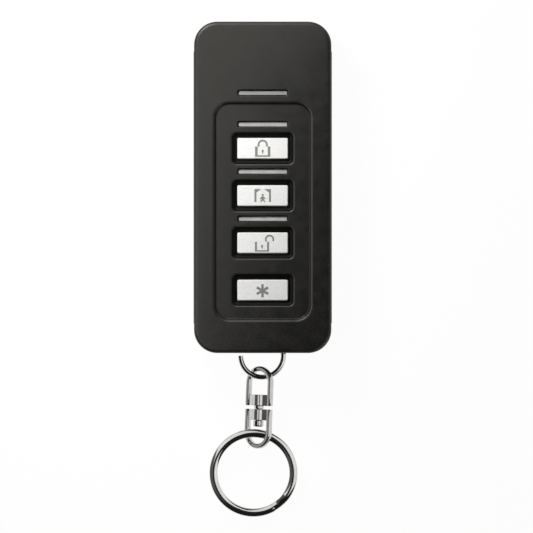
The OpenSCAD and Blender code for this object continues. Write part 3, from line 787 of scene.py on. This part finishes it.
# %% Swivel links and pin
LINK_W, LINK_L = 7.5, 9.0
STRAP_T, STRAP_D, STRAP_R = 1.15, 1.3, 0.4
STRAP_EDGE, STRAP_END_SCALE, ARCH_STEPS = 0.1, 0.9, 40
BASE_H, BASE_D, BASE_EDGE, BASE_END_SCALE = 2.5, 1.45, 0.1, 0.94
HUB_D, HUB_EDGE_R, HUB_CAP_IN = 3.2, 0.12, 1.0
HAIR = 0.001  # keeps the corners of a round loft apart
LINK_ROLL = math.radians(40)
PIN_D, COLLAR_D, HEAD_D, HEAD_H, PIN_PLAY = 1.4, 2.2, 2.35, 1.4, 0.1
HEAD_CAP_R, END_CAP_R = 0.3, 0.2
PIN_EDGE_RADII = [0.35, 0.1, 0.05, 0.05, 0.1, 0.1, 0.05, 0.05]
TO_Y = Matrix.Rotation(-math.pi / 2, 4, "X")


def link_frames():
    """The hoop's frames, from the foot of one leg over the arch to the foot of the other."""
    arch_r = (LINK_W - STRAP_T) / 2
    arch_y = LINK_L - LINK_W / 2
    deep = Vector((0, 0, 1))
    leg = [(0.0, STRAP_END_SCALE), (STRAP_EDGE, 1.0), (arch_y * 0.5, 1.0)]
    frames = [(Vector((arch_r, y, 0)), Vector((1, 0, 0)), deep, scale) for y, scale in leg]
    for i in range(ARCH_STEPS + 1):
        a = math.pi * i / ARCH_STEPS
        out = Vector((math.cos(a), math.sin(a), 0))
        frames.append((Vector((0, arch_y, 0)) + out * arch_r, out, deep, 1.0))
    other_leg = [(Vector((-arch_r, y, 0)), Vector((-1, 0, 0)), deep, scale) for y, scale in reversed(leg)]
    return frames + other_leg


def moved_loft(bm, w, l, r, path, place, steps=8):
    """A closed loft along the link's own Y, put in place."""
    made = bmesh.new()
    rings = loft(made, w, l, r, path, steps=steps)
    made.faces.new(rings[0])
    made.faces.new(rings[-1])
    made.transform(place @ TO_Y)
    mesh = bpy.data.meshes.new("part_of_link")
    made.to_mesh(mesh)
    made.free()
    bm.from_mesh(mesh)
    bpy.data.meshes.remove(mesh)


def make_link(name, base_y, turn, body, node):
    place = (
        CHAIN @ Matrix.Translation((0, base_y * MM, 0)) @ Matrix.Rotation(turn, 4, "Z")
        @ Matrix.Rotation(-LINK_ROLL if turn == 0 else LINK_ROLL, 4, "Y")
    )
    bm = bmesh.new()
    sweep(bm, link_frames(), rounded_loop(STRAP_T, STRAP_D, STRAP_R, 4), place)
    stops = [(0.0, BASE_END_SCALE), (BASE_EDGE, 1.0), (BASE_H - BASE_EDGE, 1.0), (BASE_H, BASE_END_SCALE)]
    frames = [(Vector((0, y, 0)), Vector((1, 0, 0)), Vector((0, 0, 1)), scale) for y, scale in stops]
    sweep(bm, frames, oval_section(LINK_W - STRAP_T, BASE_D, 48), place)
    hub_path = eased([
        (HUB_CAP_IN, 0.0), (0.0, 0.0), (0.0, BASE_H), (HUB_CAP_IN, BASE_H),
    ], [HUB_EDGE_R, HUB_EDGE_R], steps=3)
    moved_loft(bm, HUB_D, HUB_D, HUB_D / 2 - HAIR, hub_path, place)
    return dress_chain(finish_piece(bm, name, PLATING), body, node)


def make_pin():
    pin_r, collar_r, head_r = PIN_D / 2, COLLAR_D / 2, HEAD_D / 2
    head_y, collar_y, end_y = LOWER_BASE - BASE_H - PIN_PLAY, LOWER_BASE + PIN_PLAY, UPPER_BASE + BASE_H
    profile = eased([
        (HEAD_CAP_R, head_y - HEAD_H), (head_r, head_y - HEAD_H), (head_r, head_y), (pin_r, head_y),
        (pin_r, collar_y), (collar_r, collar_y), (collar_r, UPPER_BASE), (pin_r, UPPER_BASE),
        (pin_r, end_y), (END_CAP_R, end_y),
    ], PIN_EDGE_RADII, steps=4)
    bm = bmesh.new()
    rings = []
    for r, y in profile:
        rings.append([bm.verts.new(CHAIN @ (Vector((a, y, b)) * MM)) for a, b in circle_section(2 * r, 36)])
    for low, high in zip(rings, rings[1:]):
        bridge(bm, low, high)
    bm.faces.new(rings[0])
    bm.faces.new(rings[-1])
    return dress_chain(finish_piece(bm, "swivel_rivet", PLATING), "swivel_top", "swivel_pin")


upper_link = make_link("swivel_upper_hoop", UPPER_BASE, 0, "swivel_top", "upper_link")
lower_link = make_link("swivel_lower_hoop", LOWER_BASE, math.pi, "swivel_bottom", "lower_link")
swivel_pin = make_pin()

# %% [markdown]
# The split ring is one oval wire wound twice. It runs a turn on the lower level, steps up beside its own
# start and runs a second turn on top, so its two ends leave the notch that a key is pushed into.

# %% Split ring
SPLIT_OD, SPLIT_W, COIL_T, COIL_GAP = 20.0, 1.8, 0.85, 0.08
SPLIT_SHIFT, SPLIT_END_DEG, SPLIT_STEP, SPLIT_NOTCH = 0.75, -34.0, 0.05, 0.065
LOWER_SLACK = 1.45
SPLIT_STEPS, SPLIT_END_SCALE = 320, 0.9
SPLIT_R = (SPLIT_OD - SPLIT_W) / 2


def coil_level(turn):
    share = min(max((turn - 1 + SPLIT_STEP) / SPLIT_STEP, 0.0), 1.0)
    return (share * share * (3 - 2 * share) - 0.5) * (COIL_T + COIL_GAP)


def make_split_ring():
    split_t = 2 * COIL_T + COIL_GAP
    tilt = math.asin((chain_origin.z / MM - split_t / 2) / (2 * SPLIT_R + SPLIT_W / 2))
    crossing_y = LOWER_BASE - LINK_L + STRAP_T + LOWER_SLACK + SPLIT_W / 2
    place = (
        CHAIN @ Matrix.Translation((-SPLIT_SHIFT * MM, crossing_y * MM, 0)) @ Matrix.Rotation(tilt, 4, "X")
        @ Matrix.Translation((0, -SPLIT_R * MM, 0))
    )
    turns = 2 - SPLIT_NOTCH
    frames = []
    for i in range(SPLIT_STEPS + 1):
        turn = turns * i / SPLIT_STEPS
        a = math.radians(SPLIT_END_DEG + 360 * turn)
        out = Vector((math.cos(a), math.sin(a), 0))
        middle = out * SPLIT_R + Vector((0, 0, coil_level(turn)))
        scale = SPLIT_END_SCALE if i in (0, SPLIT_STEPS) else 1.0
        frames.append((middle, out, Vector((0, 0, 1)), scale))
    bm = bmesh.new()
    sweep(bm, frames, oval_section(SPLIT_W, COIL_T), place)
    return dress_chain(finish_piece(bm, "split_key_ring", PLATING), "key_ring", "split_ring")


split_ring = make_split_ring()

# %% [markdown]
# The rear shell keeps its CAD solid, because its shape is already right. The pieces inside keep theirs too.
# They hardly show, but each gets a finish of its own: board, steel, brass, ceramic and moulded chip.

# %% Finishes of the rear shell and the inner pieces
ROUGH_SPREAD = 0.12
INNER_PATCH_MM, INNER_RELIEF = 3.0, 0.4


def make_inner_finish(name, dark, light, metallic, rough, grain_mm, depth_mm):
    material, tree, shader = new_finish(name, metallic=metallic)
    grain = place_group(tree, GRAIN, Grain_mm=grain_mm, Patch_mm=INNER_PATCH_MM)
    tone(tree, shader, grain.outputs["Patches"], dark, light)
    spread(tree, shader, grain.outputs["Patches"], rough, rough + ROUGH_SPREAD)
    relief(tree, shader, grain.outputs["Grain"], depth_mm, INNER_RELIEF)
    return material


# Dark tone, light tone, metallic, least roughness, grain in mm and depth of the bump in mm
INNER = {
    "board_mask": ((0.012, 0.075, 0.03), (0.018, 0.10, 0.04), 0.0, 0.35, 0.4, 0.01),
    "stamped_steel": ((0.50, 0.50, 0.50), (0.62, 0.62, 0.62), 1.0, 0.28, 0.2, 0.004),
    "led_epoxy": ((0.70, 0.68, 0.55), (0.80, 0.78, 0.66), 0.0, 0.25, 0.3, 0.004),
    "moulded_chip": ((0.018, 0.018, 0.02), (0.026, 0.026, 0.028), 0.0, 0.5, 0.1, 0.008),
    "chip_ceramic": ((0.36, 0.28, 0.17), (0.44, 0.35, 0.22), 0.0, 0.45, 0.15, 0.006),
    "contact_brass": ((0.62, 0.48, 0.20), (0.72, 0.57, 0.26), 1.0, 0.25, 0.2, 0.004),
    "zinc_plate": ((0.42, 0.42, 0.43), (0.56, 0.56, 0.57), 1.0, 0.3, 0.12, 0.006),
}
inner_finish = {name: make_inner_finish(name, *values) for name, values in INNER.items()}
FINISH_OF_NODE = {
    "rear_shell": CASE_PLASTIC,
    "circuit_board": inner_finish["board_mask"],
    "switch_housings": inner_finish["stamped_steel"],
    "crystal_can": inner_finish["stamped_steel"],
    "battery_clip": inner_finish["stamped_steel"],
    "coin_cell": inner_finish["stamped_steel"],
    "indicator_leds": inner_finish["led_epoxy"],
    "radio_chip": inner_finish["moulded_chip"],
    "chip_components": inner_finish["chip_ceramic"],
    "antenna_wire": inner_finish["contact_brass"],
    "negative_contact": inner_finish["contact_brass"],
    "case_screws": inner_finish["zinc_plate"],
    **{f"{key}_plunger": inner_finish["moulded_chip"] for key in KEYS},
}
for node, material in FINISH_OF_NODE.items():
    NODES[node].data.materials.clear()
    NODES[node].data.materials.append(material)
print("finished", len(FINISH_OF_NODE), "CAD nodes")

# %% [markdown]
# The floor is plain and white. To the camera and in reflections it is a lit white sweep, with a little of the
# real shading mixed in, so that the object keeps a faint shadow. To all other light it is matt white.

# %% Floor
FLOOR_SIZE = 3.0
FLOOR_DROP = 0.02 * MM
FLOOR_MATT, FLOOR_WHITE, FLOOR_GLOW = 0.8, 1.02, 0.95


def white_for_viewers(tree):
    """1 for rays that come from the camera, a reflection or a refraction."""
    path = add_node(tree, "ShaderNodeLightPath")
    seen = math_node(tree, "MAXIMUM", path.outputs["Is Camera Ray"], path.outputs["Is Glossy Ray"])
    return math_node(tree, "MAXIMUM", seen, path.outputs["Is Transmission Ray"])


def make_floor():
    material = bpy.data.materials.new("white_sweep")
    material.use_nodes = True
    tree = material.node_tree
    tree.nodes.remove(tree.nodes["Principled BSDF"])
    matt = add_node(tree, "ShaderNodeBsdfDiffuse")
    matt.inputs["Color"].default_value = (FLOOR_MATT, FLOOR_MATT, FLOOR_MATT, 1.0)
    glow = add_node(tree, "ShaderNodeEmission")
    glow.inputs["Strength"].default_value = FLOOR_WHITE
    mix = add_node(tree, "ShaderNodeMixShader")
    tree.links.new(math_node(tree, "MULTIPLY", white_for_viewers(tree), FLOOR_GLOW), mix.inputs[0])
    tree.links.new(matt.outputs[0], mix.inputs[1])
    tree.links.new(glow.outputs[0], mix.inputs[2])
    tree.links.new(mix.outputs[0], tree.nodes["Material Output"].inputs["Surface"])
    bm = bmesh.new()
    bmesh.ops.create_grid(bm, x_segments=1, y_segments=1, size=FLOOR_SIZE / 2)
    mesh = bpy.data.meshes.new("floor")
    bm.to_mesh(mesh)
    bm.free()
    floor = bpy.data.objects.new("floor", mesh)
    bpy.context.scene.collection.objects.link(floor)
    floor.location.z = -FLOOR_DROP
    floor.data.materials.append(material)


make_floor()
print("floor:", FLOOR_SIZE, "m wide")

# %% [markdown]
# A soft box at the upper left is the main light: it lights the keys and throws the shadows in the wells.
# Satin plastic shows what it mirrors, so two soft boxes hang straight over the face, along its left side and
# at its top end, and make the black fade towards the lower right, as in the photograph. Five weak cards round
# the case draw a light line along its rolled edges and corners. None is below it, because the lips that face
# down stay dark in the photograph.
# Such near lamps would burn into the polished chain, so light linking leaves it out of them and gives it
# white cards of its own: a wide one on the right, one above for the split ring, a weak one on the left for
# the ring and the links, and two more for the links' flat faces and their hubs.
# It also keeps the soft boxes off the sunk light bars, so that these keep the shadow along their upper edge.

# %% Lamps
LAMP_TINT = (1.0, 0.995, 0.98)


def make_lamp(name, at, aim, size, power, turn_deg=0.0):
    data = bpy.data.lights.new(name, "AREA")
    data.shape = "RECTANGLE"
    data.size, data.size_y = (s * MM for s in size)
    data.energy = power
    data.color = LAMP_TINT
    lamp = bpy.data.objects.new(name, data)
    bpy.context.scene.collection.objects.link(lamp)
    lamp.location = Vector(at) * MM
    lamp.rotation_mode = "QUATERNION"
    facing = (Vector(at) - Vector(aim)).to_track_quat("Z", "Y")
    lamp.rotation_quaternion = facing @ Quaternion((0, 0, 1), math.radians(turn_deg))
    lamp.visible_camera = False
    return lamp


def link_light(lamp, pieces, state):
    """Lets a lamp light only these pieces (INCLUDE), or all but these (EXCLUDE)."""
    group = bpy.data.collections.new(f"{lamp.name}_pieces")
    for piece in pieces:
        group.objects.link(piece)
    for entry in group.collection_objects:
        entry.light_linking.link_state = state
    lamp.light_linking.receiver_collection = group


FACE_MIDDLE = (0, 0, 10)
CHAIN_MIDDLE = (-2, -60, 3)
CHAIN_PIECES = (case_ring, upper_link, lower_link, swivel_pin, split_ring)
key_box = make_lamp("key_box", at=(-75, 118, 105), aim=FACE_MIDDLE, size=(60, 60), power=0.28)
side_box = make_lamp(
    "side_box", at=(-39, -14, 58), aim=(-39, -14, 10), size=(97, 60), power=0.030, turn_deg=79)
top_box = make_lamp(
    "top_box", at=(-7, 56, 58), aim=(-7, 56, 10), size=(49, 60), power=0.0156, turn_deg=45)
right_card = make_lamp("right_card", at=(285, -35, 281), aim=CHAIN_MIDDLE, size=(426, 580), power=0.85)
upper_card = make_lamp("upper_card", at=(-174, 145, 300), aim=CHAIN_MIDDLE, size=(330, 640), power=0.68)
left_card = make_lamp("left_card", at=(-290, -75, 281), aim=CHAIN_MIDDLE, size=(426, 580), power=0.08)
link_card = make_lamp("link_card", at=(-200, -50, 35), aim=(0, -50, 4), size=(160, 70), power=0.011)
hub_card = make_lamp("hub_card", at=(-92, -50, 393), aim=(0, -50, 3), size=(200, 170), power=0.09)
RIM_SIZE = (120, 120)
RIM_CARDS = {
    "left_rim": ((-190, 0, 130), 0.13),
    "top_rim": ((0, 200, 140), 0.16),
    "right_rim": ((220, 0, 120), 0.04),
    "top_right_rim": ((160, 150, 120), 0.1),
    "low_right_rim": ((160, -150, 120), 0.15),
}
rim_cards = [
    make_lamp(name, at=at, aim=FACE_MIDDLE, size=RIM_SIZE, power=power)
    for name, (at, power) in RIM_CARDS.items()
]
link_light(key_box, CHAIN_PIECES, "EXCLUDE")
for lamp in rim_cards:
    link_light(lamp, (front, NODES["rear_shell"], *light_guides[1:]), "INCLUDE")
for lamp in (side_box, top_box):
    link_light(lamp, (*CHAIN_PIECES, *light_guides), "EXCLUDE")
link_light(right_card, CHAIN_PIECES, "INCLUDE")
link_light(upper_card, (split_ring,), "INCLUDE")
link_light(left_card, (split_ring, upper_link, lower_link), "INCLUDE")
link_light(link_card, (upper_link, lower_link), "INCLUDE")
link_light(hub_card, (upper_link, lower_link, swivel_pin), "INCLUDE")
print("lamps:", [light.name for light in bpy.data.lights])

# %% [markdown]
# The room is dark overhead, where the camera is, and white at the horizon, where the floor's white goes on.
# The camera sees that white everywhere, and polished metal mirrors it at the horizon; it lights nothing else.

# %% Room
ROOM_DARK = 0.015
SWEEP_FROM, SWEEP_TO = 0.03, 0.0


def make_room():
    world = bpy.data.worlds.new("studio")
    bpy.context.scene.world = world
    world.use_nodes = True
    tree = world.node_tree
    split = add_node(tree, "ShaderNodeSeparateXYZ")
    tree.links.new(add_node(tree, "ShaderNodeTexCoord").outputs["Generated"], split.inputs[0])
    sweep_white = add_node(tree, "ShaderNodeMapRange", interpolation_type="SMOOTHSTEP")
    sweep_white.inputs["From Min"].default_value = SWEEP_FROM
    sweep_white.inputs["From Max"].default_value = SWEEP_TO
    tree.links.new(split.outputs["Z"], sweep_white.inputs["Value"])
    path = add_node(tree, "ShaderNodeLightPath")
    in_mirror = math_node(
        tree, "MAXIMUM", path.outputs["Is Glossy Ray"], path.outputs["Is Transmission Ray"])
    sweep_seen = math_node(tree, "MULTIPLY", in_mirror, sweep_white.outputs[0])
    white = math_node(tree, "MAXIMUM", path.outputs["Is Camera Ray"], sweep_seen)
    background = tree.nodes["Background"]
    background.inputs["Color"].default_value = (1.0, 1.0, 1.0, 1.0)
    tree.links.new(math_node(tree, "MAXIMUM", white, ROOM_DARK), background.inputs["Strength"])


make_room()
bpy.context.scene.view_settings.view_transform = "Standard"
print("room:", bpy.context.scene.world.name)

# %% End
print("done")
